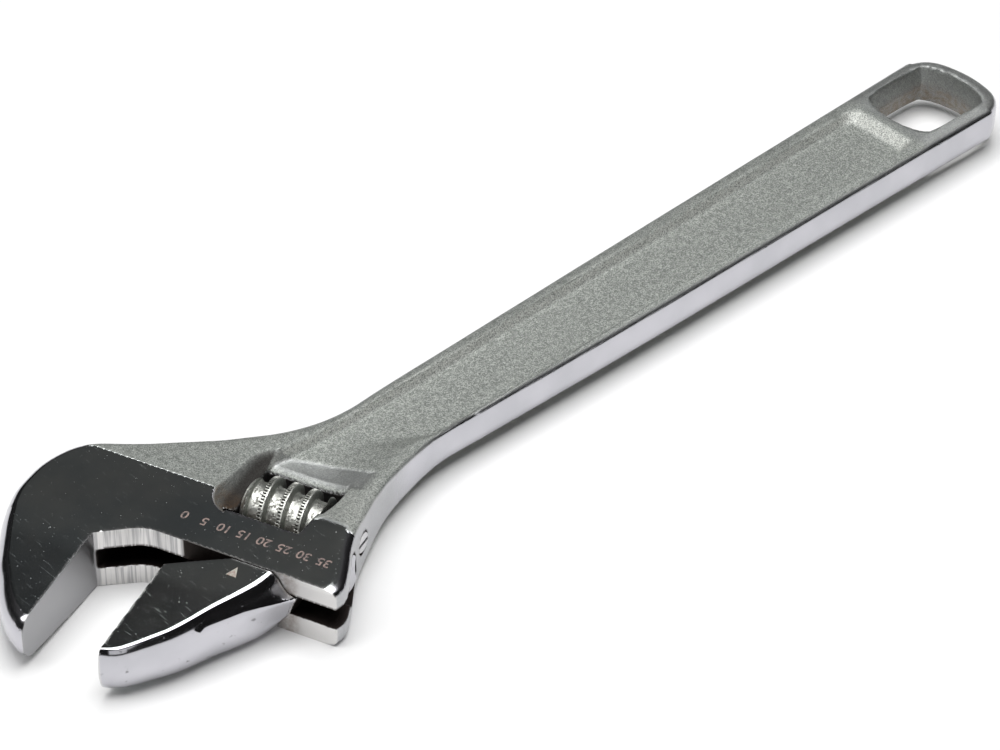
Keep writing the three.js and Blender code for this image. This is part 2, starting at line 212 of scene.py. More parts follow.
def body_outline():
    """The forging's outline where its flat faces end, in the handle's x and y."""
    jaw_back = [(-0.6, -27.6), (-1.5, -27.4), (-4.9, -25.2), (-8.1, -21.9), (-10.8, -18.2),
                (-13.3, -14.9), (-15.4, -11.0), (-17.4, -7.0), (-19.3, -2.9), (-20.9, 1.6), (-21.9, 5.6),
                (-22.0, 9.8), (-21.6, 14.5), (-20.2, 19.1), (-17.9, 23.2), (-14.6, 26.2)]
    shoulder = [(-9.6, 28.9), (-4.4, 32.0), (0.3, 35.4), (5.1, 38.7), (9.8, 42.0), (14.3, 45.8),
                (18.9, 49.8), (23.0, 54.5), (26.7, 60.0), (29.9, 66.4)]
    far = [(82, -5.1), (100, -4.8), (147, -3.85), (216, -2.6), (262, -1.8)]
    end = [(266.5, -2.1), (270.2, -3.9), (272.3, -7.5), (273.3, -14.5), (272.5, -21.5),
           (270.4, -25.2), (266.5, -27.0)]
    near = [(262, -27.1), (216, -26.3), (147, -25.3), (100, -24.0), (84, -23.5)]
    wall = [(48.4, 62.5), (46.9, 52.8), (46.5, 46.5), (46.8, 40.2), (47.7, 33.6), (48.7, 28.0),
            (50.9, 21.0), (52.8, 16.6), (54.6, 12.0), (55.2, 9.5), (54.6, 7.0), (53.6, 3.0)]
    spine = [handle_frame(u, v) for u, v in jaw_back + shoulder] + far + end + near
    spine += [handle_frame(u, v) for u, v in wall]
    inner = [handle_frame(u, v) for u, v in ((2.0, -4.0), (2.0, -27.6))]
    return np.vstack([smooth_line(spine, 4), inner])


def hole_outline():
    """The hanging hole's outline at the flat faces, in the handle's x and y."""
    return smooth_line([
        (257, -3.6), (266.3, -4.0), (268.6, -5.2), (270.2, -9.0), (270.9, -14.9), (270.1, -20.7),
        (268.4, -24.2), (266.2, -25.3), (257, -25.0), (250.4, -24.7), (248.0, -23.7),
        (246.3, -20.2), (245.5, -14.5), (246.3, -8.6), (248.0, -5.0), (250.4, -3.9), (257, -3.6),
    ], 4)[:-1]


def jaw_outline():
    """The sliding jaw's outline where its ground face ends, in the head's u and v."""
    back = [(15.0, -29.6), (19.5, -29.0), (22.5, -27.6), (24.9, -25.1), (27.6, -21.6), (30.3, -17.9),
            (32.7, -13.4), (35.0, -8.5), (37.5, -3.7), (39.9, 1.4), (41.6, 7.1)]
    return np.vstack([smooth_line(back, 5), [(41.6, 12), (15, 12)]])


# ------------------------------------------------------------------ the forging's heights
def ground_half(v):
    """Half the thickness between the head's two ground faces."""
    return HALF_HEAD - JAW_TAPER * most(-v, 0 * v, TAPER_BLEND)


def forged_half(u, v):
    """Half the forging's thickness on the slope from the head to the handle."""
    past = np.clip((v - RIDGE) / SLOPE_RUN, None, 1)
    drop = HALF_HEAD - HALF_HANDLE
    slope = np.where(past > 0, HALF_HANDLE + drop * (1 - past) ** 2, HALF_HEAD - 2 * drop * past)
    wall_lift = 0.25 * rise(u, 38, 44) * rise(v, 34, 20)
    return slope + wall_lift


def recess_depth(x, y):
    """How far the recess has reached its floor: 0 outside it, 1 on the floor."""
    u, v = head_frame(x, y)
    far_edge = np.interp(x, [40, 47, 55, 64, 86, 118, 186, 230, 250],
                         [-2.5, -4.3, -5.4, -5.9, -6.1, -5.8, -5.3, -4.5, -4.2])
    near_edge = np.interp(x, [40, 50, 58, 66, 75, 86, 100, 221, 250],
                          [-40, -34, -29.8, -27, -25.4, -25.0, -25.3, -25.6, -25.5])
    far_run, end_run, head_run, left_run = 2.3, 4.2, 19, 1.4
    near_run = 1.7 + 15 * rise(x, 84, 60)
    to_far = (far_edge - y) / far_run
    to_near = (y - near_edge) / near_run
    to_end = (242.9 - x) / end_run
    to_head = (v - 27) / head_run
    to_left = (u - 20.6) / left_run
    inside = least(least(to_far, to_near, 0.5), to_end, 1.1)
    inside = least(least(inside, to_head, 0.3), to_left, 0.2)
    return rise(inside, 0.0, 1.0)


def relief(u, v):
    """The shallow relief that the worm's cutter leaves past the window: 1 in it, 0 outside."""
    start, width = 20.9, 22
    bow = 1.1 * np.sin(np.clip((u - start) / width, 0, 1) * math.pi)
    edge = 45.4 + 0.145 * (u - start) + bow
    return rise(edge - v, 0.0, 0.5) * rise(v, 41.0, 42.2) * rise(u, 20.5, 22.5) * rise(u, 46.5, 43.5)


def top_half(x, y):
    """Half the body's thickness at x and y, before the cuts that go through it."""
    u, v = head_frame(x, y)
    rounding = 1e-4 + 0.33 * rise(u, 39, 43)
    base = least_varying(forged_half(u, v), ground_half(v), rounding)
    depth = recess_depth(x, y)
    relief_depth, lip_depth, lip_run = 0.3, 1.5, 2.0
    half = base - (base - HALF_WEB) * depth
    half = half - relief_depth * relief(u, v)
    left, right, front, back = WINDOW
    over = rise(u, left - 0.6, left + 0.4) * rise(u, right + 1.6, right + 0.6)
    lip = np.clip(1 - (v - back) / lip_run, 0, 1) * rise(v, front + 8, front + 10)
    return half - lip_depth * lip * over


def thumb_scoop(u, v, z):
    """A dished relief beside the window, where the thumb reaches the worm."""
    centre_u, centre_z, radius = 23.6, 10.6, 7.1
    along = np.clip(v, 26.5, 39.0)
    ball = np.sqrt((u - centre_u) ** 2 + 0.8 * (v - along) ** 2 + (np.abs(z) - centre_z) ** 2) - radius
    return most(ball, u - (WINDOW[0] + 0.4))


# ------------------------------------------------------------------ solids as fields
def swelled(distance, z, half, swell, fullness):
    """A forged side: it stands swell past the outline at mid-thickness, and flatter if fuller."""
    share = np.clip(np.abs(z) / half, 0, 1.15)
    return (distance - swell * (1 - share ** fullness)) * 0.8


def mouth(u, v):
    """The space between the jaws and in front of the guide."""
    throat = least(THROAT_SLOPE * u, GUIDE + 0 * u, 2.2)
    return most(-u, (v - throat) * 0.86 * np.where(u > 10, 1.16, 1.0))


def round_bar(v, z, centre, radius):
    """An endless bar that runs the way the jaw opens."""
    return np.sqrt((v - centre) ** 2 + z ** 2) - radius


def body_cuts(u, v, z):
    """The spaces that are machined out of the head, as named fields."""
    left, right, front, back = WINDOW
    tall = np.abs(z)
    corner = 0.6
    across = most(left - u, u - right - 0.05 * (v - front), corner)
    window = most(across, most(front - v, v - back, corner), corner)
    pin = most(round_bar(v, z, WORM_AXIS, PIN_HOLE), PIN_HOLE_END - u)
    seat = most(round_bar(v, z, WORM_AXIS, PIN_HEAD + 0.1), PIN_SEAT - PIN_GAP - u)
    return {
        "mouth": mouth(u, v) + 0 * z,
        "slot": most(most(tall - HALF_SLOT, 0.3 - u, 1.2), v - CHANNEL_AXIS),
        "channel": most(round_bar(v, z, CHANNEL_AXIS, CHANNEL_RADIUS), CHANNEL_END - u),
        "window": window + 0 * z,
        "scoop": thumb_scoop(u, v, z),
        "pin": least(pin, seat),
    }


class BodyField:
    """The body as a distance field that is negative inside the metal."""

    def __init__(self):
        self.outline = body_outline()
        self.hole = hole_outline()

    def forging(self, x, y, z):
        u, v = head_frame(x, y)
        swell = HANDLE_SWELL + (HEAD_SWELL - HANDLE_SWELL) * rise(x, 86, 46)
        scale = np.where(v < 0, ground_half(v) / HALF_HEAD, 1.0)
        on_right_wall = rise(u, 38, 46) * rise(x, 84, 62)
        fullness = 3.4 + 2.6 * rise(x, 62, 90) + 12 * on_right_wall
        half = (HALF_HANDLE + (HALF_HEAD - HALF_HANDLE) * rise(v, 62, 26)) * scale
        side = swelled(outline_distance(x, y, self.outline), z, half, swell, fullness)
        faces = (np.abs(z) - top_half(x, y)) * 0.95
        return most_varying(side, faces, 0.7 + 1.1 * rise(v, 26, 40))

    def hanging_hole(self, x, y, z):
        crown = HOLE_CROWN * (1 - np.clip(np.abs(z) / HALF_HANDLE, 0, 1))
        return (outline_distance(x, y, self.hole) + crown) * 0.95

    def __call__(self, x, y, z):
        u, v = head_frame(x, y)
        solid = self.forging(x, y, z)
        for name, cut in body_cuts(u, v, z).items():
            solid = most(solid, -cut, CUT_BLENDS[name])
        return most(solid, -self.hanging_hole(x, y, z), HOLE_BLEND)


class JawField:
    """The sliding jaw, its web and its rack, in the head's frame."""

    def __init__(self):
        self.outline = jaw_outline()

    def __call__(self, u, v, z):
        tall = np.abs(z)
        half = ground_half(v)
        swell = HEAD_SWELL * (half / HALF_HEAD) ** 2 + 0.2 * rise(v, -8, GUIDE)
        fullness = 3.2 + 1.2 * rise(v, -14, 2)
        side = swelled(outline_distance(u, v, self.outline), z, half, swell, fullness)
        hook = most(side, (tall - half) * 0.98, 0.45)
        rear = ((v - REAR_START) - (u - OPENING) * math.tan(REAR_ANGLE)) * math.cos(REAR_ANGLE)
        hook = most(hook, OPENING - u, 0.3)
        hook = most(hook, most(rear, v - (GUIDE - JAW_GAP), 0.3), 0.3)
        half_web = HALF_SLOT - JAW_GAP
        web_end = np.interp(v, [-12, -4, 1, 5, GUIDE, 9, 14],
                            [32.0, 37.4, 41.4, 44.8, 46.4, 47.4, 47.6])
        web_end = web_end + 0.5 * np.clip(z, -HALF_SLOT, HALF_SLOT)
        web = most(tall - half_web, u - web_end, 1.0)
        web = most(most(web, OPENING + 0.6 - u, 0.5), most(v - 17, -12 - v))
        fillet = 0.2 + 3.4 * rise(u, 30, 36)
        solid = most(least_varying(hook, web, fillet), OPENING - u)
        solid = np.where(v > GUIDE - JAW_GAP, np.maximum(solid, tall - half_web), solid)
        bar = most(round_bar(v, z, CHANNEL_AXIS, CHANNEL_RADIUS - JAW_GAP),
                   most(RACK_START - u, u - RACK_END), 0.8)
        bar = most(bar, -worm_thread(u, v, z, JAW_GAP))
        return least(solid, bar)


def worm_thread(u, v, z, grow):
    """The worm's thread and core without its ends; grow makes it larger all over."""
    radius = np.sqrt((v - WORM_AXIS) ** 2 + z ** 2)
    turn = np.arctan2(z, v - WORM_AXIS) + math.pi
    along = (u - CREST_AT - turn * PITCH / (2 * math.pi)) / PITCH
    along = np.abs(along - np.round(along)) * PITCH
    lean = (ROOT_HALF - CREST_HALF) / (WORM_RADIUS - WORM_CORE)
    width = CREST_HALF + grow + lean * (WORM_RADIUS + grow - radius)
    rib = most((along - width) * 0.93, radius - WORM_RADIUS - grow, 0.25)
    return least(rib, radius - WORM_CORE - grow, 0.5 if grow == 0 else 0.0)


def worm_field(u, v, z):
    """The adjusting worm with its knurled crest, bored for the pin and the spring."""
    radius = np.sqrt((v - WORM_AXIS) ** 2 + z ** 2)
    turn = np.arctan2(z, v - WORM_AXIS)
    notch = np.abs(((turn * KNURLS / (2 * math.pi)) % 1.0) - 0.5) * 2
    along = (u - CREST_AT - (turn + math.pi) * PITCH / (2 * math.pi)) / PITCH
    along = (along - np.round(along)) * PITCH
    depth = KNURL_DEPTH * rise(notch, 0.3, 0.8) * rise(along, 0.35, 0.1)
    rib = worm_thread(u, v, z, 0.0)
    solid = most(rib, radius - WORM_RADIUS + depth, 0.1)
    past_end = np.abs(u - WORM_MID) - (WORM_END - WORM_START) / 2
    chamfer = 0.75 * past_end + radius - WORM_RADIUS + 0.8
    solid = most(solid, past_end, 0.3)
    solid = most(solid, chamfer * 0.8)
    runout = radius - WORM_CORE - 0.5 - 1.15 * np.maximum(u - WORM_START - 0.4, 0)
    solid = most(solid, runout * 0.65, 0.3)
    bore = least(radius - PIN_HOLE, most(radius - SPRING_BORE, u - WORM_START - SPRING_DEPTH))
    return most(solid, -bore, 0.2)


def pin_field(u, v, z):
    """The worm's pin with its slotted head."""
    radius = np.sqrt((v - WORM_AXIS) ** 2 + z ** 2)
    half_slot, slot_depth = 0.45, 0.9
    shank = most(radius - PIN_SHANK, PIN_HOLE_END + PIN_GAP - u, 0.5)
    cap = most(radius - PIN_HEAD, PIN_SEAT - u, 0.2)
    solid = most(least(shank, cap), u - PIN_TOP, 0.7)
    slot = most(np.abs(z) - half_slot, PIN_TOP - slot_depth - u)
    return most(solid, -slot, 0.15)


# ------------------------------------------------------------------ meshes from fields
def crossings(field, grid, axes, axis):
    """Where the surface cuts the grid's edges along one axis: cells, places and which side is in."""
    ahead = [slice(None)] * 3
    ahead[axis] = slice(1, None)
    behind = [slice(None)] * 3
    behind[axis] = slice(None, -1)
    start, end = grid[tuple(behind)], grid[tuple(ahead)]
    index = np.argwhere((start < 0) != (end < 0))
    near = start[tuple(index.T)].copy()
    away = end[tuple(index.T)].copy()
    place = np.stack([axes[k][index[:, k]] for k in range(3)], 1)
    low = axes[axis][index[:, axis]].copy()
    high = axes[axis][index[:, axis] + 1].copy()
    for _ in range(3):
        share = np.clip(near / (near - away), 0.05, 0.95)
        place[:, axis] = low + (high - low) * share
        value = field(*place.T)
        same = (value < 0) == (near < 0)
        low, near = np.where(same, place[:, axis], low), np.where(same, value, near)
        high, away = np.where(same, high, place[:, axis]), np.where(same, away, value)
    place[:, axis] = low + (high - low) * near / (near - away)
    return index, place, grid[tuple(behind)][tuple(index.T)] < 0


def field_normals(field, place, step):
    """Which way a field rises at each place, as unit vectors, measured over a step each way."""
    slopes = []
    for axis in range(3):
        move = np.zeros(3)
        move[axis] = step
        slopes.append(field(*(place + move).T) - field(*(place - move).T))
    normals = np.stack(slopes, 1)
    return normals / np.maximum(np.linalg.norm(normals, axis=1, keepdims=True), 1e-12)


def mesh_field(field, axes, step):
    """A quad mesh of a field's zero surface, with vertices on its edges and corners.

    Each grid cell that the surface passes through gets one vertex, at the point that lies nearest to
    all the planes that touch the surface where it cuts the cell's edges.
    """
    axes = [np.asarray(a, float) for a in axes]
    grid = field(axes[0][:, None, None], axes[1][None, :, None], axes[2][None, None, :])
    grid = np.broadcast_to(grid, [len(a) for a in axes])
    size = np.array(grid.shape) - 1
    cuts = [crossings(field, grid, axes, axis) for axis in range(3)]
    cells, places, normals = [], [], []
    quads = []
    for axis, (index, place, starts_in) in enumerate(cuts):
        first, second = (axis + 1) % 3, (axis + 2) % 3
        slope = field_normals(field, place, step)
        corners = []
        for a, b in ((0, 0), (1, 0), (1, 1), (0, 1)):
            cell = index.copy()
            cell[:, first] -= a
            cell[:, second] -= b
            corners.append(np.ravel_multi_index(np.clip(cell, 0, size - 1).T, size))
        quad = np.stack(corners, 1)
        quads.append(np.where(starts_in[:, None], quad, quad[:, ::-1]))
        for corner in corners:
            cells.append(corner)
            places.append(place)
            normals.append(slope)
    used, member = np.unique(np.concatenate(cells), return_inverse=True)
    places, normals = np.concatenate(places), np.concatenate(normals)
    count = np.bincount(member).astype(float)
    centre = np.stack([np.bincount(member, places[:, k]) for k in range(3)], 1) / count[:, None]
    lift = np.einsum("ij,ij->i", normals, places - centre[member])
    square = np.zeros((len(used), 3, 3))
    right = np.stack([np.bincount(member, normals[:, k] * lift) for k in range(3)], 1)
    for i in range(3):
        for j in range(3):
            square[:, i, j] = np.bincount(member, normals[:, i] * normals[:, j])
    hold = 0.02     # pulls a vertex towards the middle of its cuts where the planes nearly agree
    square += np.eye(3) * (hold * count)[:, None, None]
    vertices = centre + np.linalg.solve(square, right[:, :, None])[:, :, 0]
    where = np.unravel_index(used, size)
    for k in range(3):
        vertices[:, k] = np.clip(vertices[:, k], axes[k][where[k]], axes[k][where[k] + 1])
    quads = np.searchsorted(used, np.concatenate(quads))
    return vertices, quads


def field_mesh(name, field, axes, to_part, step=0.03):
    """A field's smooth mesh in the part's frame, and its vertices in the field's own."""
    vertices, quads = mesh_field(field, axes, step)
    mesh = bpy.data.meshes.new(name)
    mesh.from_pydata(vertices.tolist(), [], quads.tolist())
    mesh.transform(to_part)
    mesh.validate()
    mesh.polygons.foreach_set("use_smooth", [True] * len(mesh.polygons))
    mesh.set_sharp_from_angle(angle=SHARP_ANGLE)
    return mesh, vertices


def curve_mesh(curve):
    """The mesh of a curve or a text, with its bevel or its depth."""
    drawn = bpy.data.objects.new("drawn", curve)
    bpy.context.scene.collection.objects.link(drawn)
    mesh = bpy.data.meshes.new_from_object(drawn.evaluated_get(bpy.context.evaluated_depsgraph_get()))
    bpy.data.objects.remove(drawn)
    return mesh


def add_piece(name, mesh, material, body, node=None):
    """Puts a piece in the scene: it rides on a body, and replaces a node if one is named."""
    mesh.materials.clear()
    mesh.materials.append(material)
    piece = bpy.data.objects.new(name, mesh)
    bpy.context.scene.collection.objects.link(piece)
    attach(piece, body)
    if node:
        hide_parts(node)


def mark(mesh, name, values):
    """Stores a number at each vertex, for the material to read."""
    attribute = mesh.attributes.new(name, "FLOAT", "POINT")
    attribute.data.foreach_set("value", np.asarray(values, np.float32))


def steps(*spans):
    """Grid places along an axis, from (start, end, spacing) spans that follow on."""
    parts = [np.arange(a, b - spacing * 0.5, spacing) for a, b, spacing in spans]
    return np.concatenate([*parts, [spans[-1][1]]])


# ------------------------------------------------------------------ shaders
class Wire:
    """A shader socket that Python expressions can work with; each operation adds a Math node."""

    def __init__(self, shader, socket):
        self.shader = shader
        self.socket = socket

    def math(self, operation, *values):
        return self.shader.add("ShaderNodeMath", {"operation": operation}, dict(enumerate(values)))

    def __add__(self, other):
        return self.math("ADD", self, other)

    def __sub__(self, other):
        return self.math("SUBTRACT", self, other)

    def __rsub__(self, other):
        return self.math("SUBTRACT", other, self)

    def __mul__(self, other):
        return self.math("MULTIPLY", self, other)

    __radd__ = __add__

    def most(self, other):
        """The larger of the two."""
        return self.math("MAXIMUM", self, other)

    def rise(self, low, high):
        """0 below low, 1 above high and smooth between."""
        span = {"interpolation_type": "SMOOTHSTEP"}
        return self.shader.add("ShaderNodeMapRange", span, {0: self, 1: low, 2: high})


class Shader:
    """A material and the nodes in it."""

    def __init__(self, name):
        self.material = bpy.data.materials.new(name)
        self.material.use_nodes = True
        self.tree = self.material.node_tree
        self.tree.nodes.clear()
        self.place = self.add("ShaderNodeTexCoord", {}, {}, "Object")

    def add(self, kind, settings, sockets, output=0):
        """One node: its type, its settings, the values or links of its sockets, and which output."""
        node = self.tree.nodes.new(kind)
        for name, value in settings.items():
            setattr(node, name, value)
        for name, value in sockets.items():
            if isinstance(value, Wire):
                self.tree.links.new(value.socket, node.inputs[name])
            else:
                node.inputs[name].default_value = value
        return Wire(self, node.outputs[output]) if len(node.outputs) else node

    def attribute(self, name):
        """A number that mark() stored on the mesh."""
        return self.add("ShaderNodeAttribute", {"attribute_name": name}, {}, "Fac")

    def stretched(self, scale, turn=(0.0, 0.0, 0.0), shift=(0.0, 0.0, 0.0)):
        """The place on the object, turned and scaled by axis, per metre."""
        turned = {"Vector": self.place, "Rotation": turn, "Scale": scale, "Location": shift}
        return self.add("ShaderNodeMapping", {}, turned)

    def noise(self, scale, detail=2.0, rough=0.5, place=None):
        """Cloudy noise from 0 to 1, with so many clouds to a metre."""
        inputs = {"Vector": place or self.place, "Scale": scale, "Detail": detail, "Roughness": rough}
        return self.add("ShaderNodeTexNoise", {}, inputs)

    def blend(self, share, first, second):
        """The first colour at 0, the second at 1."""
        return self.add("ShaderNodeMix", {"data_type": "RGBA"}, {0: share, 6: first, 7: second}, 2)

    def finish(self, color, roughness, height, depth, coat=0.0, metallic=1.0):
        """Ends the material: colour, roughness and a bump whose height is depth metres deep."""
        bump = self.add("ShaderNodeBump", {}, {"Strength": 1.0, "Distance": depth, "Height": height})
        surface = self.add("ShaderNodeBsdfPrincipled", {}, {
            "Base Color": color, "Roughness": roughness, "Normal": bump, "Metallic": metallic,
            "Coat Weight": coat,
        })
        self.add("ShaderNodeOutputMaterial", {}, {"Surface": surface})
        return self.material


def rgba(color):
    return (*color, 1.0)


def scratches(shader, seed):
    """Fine scratches at several angles, 1 on a scratch and 0 off it."""
    narrow = (5600.0, 210.0, 300.0)
    total = shader.noise(1.0, 0.0, 0.5, shader.stretched(narrow)).rise(0.815, 0.88)
    for k in range(4):
        angle = 0.5 + 0.83 * k + 0.13 * seed
        place = shader.stretched(narrow, (0.0, 0.0, angle), (7.3 * k + seed, 3.1 * k, 0.0))
        total = total.most(shader.noise(1.0, 0.0, 0.5, place).rise(0.805, 0.87))
    return total


def ground_color(shader, finish):
    """Ground and plated faces: dark and cloudy."""
    cloud = shader.noise(45.0, 3.0, 0.6)
    return shader.blend(cloud.rise(0.3, 0.7), rgba(finish.ground), rgba(finish.ground_dull))


def body_material(finish):
    """Plated forging: blasted flats, bright sides, ground faces and milled jaws in one material."""
    shader = Shader("plated_forging")
    ground = 1 - shader.attribute("below").rise(0.006, 0.04)
    grain = shader.attribute("grain") * (1 - ground)
    milled, streaked, dull = (shader.attribute(name) for name in ("milled", "streaked", "dull"))
    inner, stain, wear = (shader.attribute(name) for name in ("inner", "stain", "wear"))
    speckle = shader.noise(3100.0, 2.0, 0.7)
    mottle = shader.noise(700.0, 3.0, 0.6)
    pits = shader.noise(760.0, 2.0, 0.5).rise(0.62, 0.74) * (1 - ground)
    streaks = shader.noise(1.0, 2.0, 0.6, shader.stretched((1500.0, 1500.0, 45.0)))
    lines = scratches(shader, 1.0) * ground
    nicks = shader.noise(1900.0, 2.0, 0.5).rise(0.7, 0.78) * ground
    cloud = shader.noise(60.0, 3.0, 0.6)
    color = shader.blend(cloud.rise(0.3, 0.7), rgba(finish.plate_dark), rgba(finish.plate_light))
    color = shader.blend(grain, color, rgba(finish.grain_dark))
    sparkle = grain * speckle.rise(0.32, 0.7) * mottle.rise(0.1, 0.6)
    color = shader.blend(sparkle, color, rgba(finish.grain))
    # painted highlight: bright speckled colour on the recess's far and end slopes and beside the window
    color = shader.blend(wear * speckle.rise(0.25, 0.65) * 0.65, color, rgba(finish.worn))
    color = shader.blend(ground, color, ground_color(shader, finish))
    color = shader.blend(milled, color, rgba(finish.milled))
    color = shader.blend(dull, color, rgba(finish.dull))
    color = shader.blend(streaked * streaks.rise(0.42, 0.62) * 0.75, color, rgba(finish.dull))
    # painted shade: near-black in the cuts, on the window's walls, in the scoop and on the guide behind the
    # sliding jaw
    color = shader.blend(inner, color, rgba(finish.inner))
    # brownish stains, and painted shade in the scoop
    color = shader.blend(stain * mottle.rise(0.2, 0.75), color, rgba(finish.stain))
    color = shader.blend((lines * 0.11).most(nicks * 0.22), color, rgba(finish.scratch))
    rough = 0.15 + grain * 0.47 + milled * 0.14 + inner * 0.3 + stain * 0.2
    rough = rough + cloud * 0.06 + lines * 0.13 + nicks * 0.25 - ground * 0.05
    height = (speckle + mottle * 0.7) * grain + streaks * streaked * 0.2 - pits * (1 - milled) * 0.1
    return shader.finish(color, rough, height - lines * 0.01 - nicks * 0.02, 0.00018)


def jaw_material(finish):
    """Plated jaw: bright sides, ground faces, a milled grip, and painted shade on the rack and the face
    behind the tip.
    """
    shader = Shader("plated_jaw")
    ground = 1 - shader.attribute("below").rise(0.006, 0.04)
    milled = shader.attribute("milled")
    inner = shader.attribute("inner")
    pits = shader.noise(620.0, 2.0, 0.5).rise(0.66, 0.76) * (1 - ground)
    streaks = shader.noise(1.0, 2.0, 0.6, shader.stretched((1500.0, 1500.0, 45.0)))
    lines = scratches(shader, 5.0) * ground
    nicks = shader.noise(1700.0, 2.0, 0.5).rise(0.7, 0.78) * ground
    cloud = shader.noise(70.0, 3.0, 0.6)
    color = shader.blend(cloud.rise(0.3, 0.7), rgba(finish.plate_dark), rgba(finish.plate_light))
    color = shader.blend(ground, color, ground_color(shader, finish))
    color = shader.blend(milled, color, rgba(finish.milled))
    # painted shade: near-black on the rack and on the face behind the jaw's tip
    color = shader.blend(inner, color, rgba(finish.inner))
    color = shader.blend(pits * 0.5, color, rgba(finish.inner))
    color = shader.blend((lines * 0.11).most(nicks * 0.22), color, rgba(finish.scratch))
    rough = 0.09 + milled * 0.15 + inner * 0.3 + cloud * 0.05 + lines * 0.13 + nicks * 0.25
    height = streaks * milled * 0.2 - pits * (1 - milled) * 0.16 - lines * 0.012 - nicks * 0.02
    return shader.finish(color, rough, height, 0.00016)


def worm_material(finish):
    """Zinc plate: bright mottled roots, painted shade on the flanks that face the way the jaw opens, dirt,
    and darkened knurl notches.
    """
    shader = Shader("zinc_plate")
    shaded_flank, root, notch = (shader.attribute(name) for name in ("shaded_flank", "root", "notch"))
    cloud = shader.noise(420.0, 3.0, 0.6)
    dirt = shader.noise(1100.0, 3.0, 0.7).rise(0.5, 0.66)
    color = shader.blend(cloud.rise(0.35, 0.65), rgba(finish.zinc), rgba(finish.zinc_dark))
    # painted shade: the thread's flanks that face the way the jaw opens are darkened
    color = shader.blend(shaded_flank * 0.75, color, rgba(finish.zinc_dull))
    color = shader.blend((dirt * (0.35 + root * 0.4)).most(notch * 0.85), color, rgba(finish.inner))
    rough = 0.3 + cloud * 0.14 + dirt * 0.12 + shaded_flank * 0.1
    return shader.finish(color, rough, cloud + dirt * 0.5, 0.00012)


def pin_material(finish):
    """Bright turned steel."""
    shader = Shader("turned_steel")
    cloud = shader.noise(800.0, 2.0, 0.6)
    color = shader.blend(cloud, rgba(finish.plate_dark), rgba(finish.milled))
    return shader.finish(color, 0.25 + cloud * 0.15, cloud, 0.00004)


def spring_material(finish):
    """Drawn wire with old oil on it."""
    shader = Shader("spring_wire")
    cloud = shader.noise(1300.0, 2.0, 0.6)
    color = shader.blend(cloud, rgba(finish.inner), rgba(finish.plate_dark))
    return shader.finish(color, 0.25 + cloud * 0.2, cloud, 0.00003)


def etch_material(name, light, dark):
    """A mark etched into a ground face, scuffed through in places."""
    shader = Shader(name)
    # noise for the places where the etched mark is scuffed through
    wear = shader.noise(1500.0, 3.0, 0.7)
    color = shader.blend(wear.rise(0.4, 0.62), rgba(light), rgba(dark))
    return shader.finish(color, 0.5 + wear * 0.2, wear, 0.00003, metallic=0.35)


def floor_material(stage):
    """Plain pale paper, very slightly cloudy."""
    shader = Shader("floor_paper")
    cloud = shader.noise(9.0, 2.0, 0.5)
    color = shader.blend(cloud, rgba(stage.floor), rgba([0.99 * part for part in stage.floor]))
    return shader.finish(color, 0.9 + cloud * 0.05, cloud, 0.00002, metallic=0.0)


# ------------------------------------------------------------------ settings
def color_setting(name, description, default):
    return FloatVectorProperty(name=name, description=description, subtype="COLOR", size=3,
                               min=0.0, max=1.0, default=default)


def length_setting(name, description, default):
    return FloatProperty(name=name, description=description, default=default, unit="LENGTH")


def power_setting(name, description, default):
    return FloatProperty(name=name, description=description, default=default, unit="POWER")


def angle_setting(name, description, degrees):
    return FloatProperty(name=name, description=description, default=math.radians(degrees),
                         subtype="ANGLE")


class WrenchMeshing(bpy.types.PropertyGroup):
    """How finely the pieces are meshed, in metres."""

    head_cell: length_setting("Head", "Spacing of the head's surface points", 0.00052)
    handle_cell: length_setting("Handle", "Spacing of the surface points along the handle", 0.0016)
    jaw_cell: length_setting("Jaw", "Spacing of the jaw's surface points", 0.0004)
    worm_cell: length_setting("Worm", "Spacing of the worm's surface points", 0.00017)
    pin_cell: length_setting("Pin", "Spacing of the pin's surface points", 0.0002)
    wire_sides: IntProperty(name="Wire", description="Bevel segments of the spring's round wire", default=3)


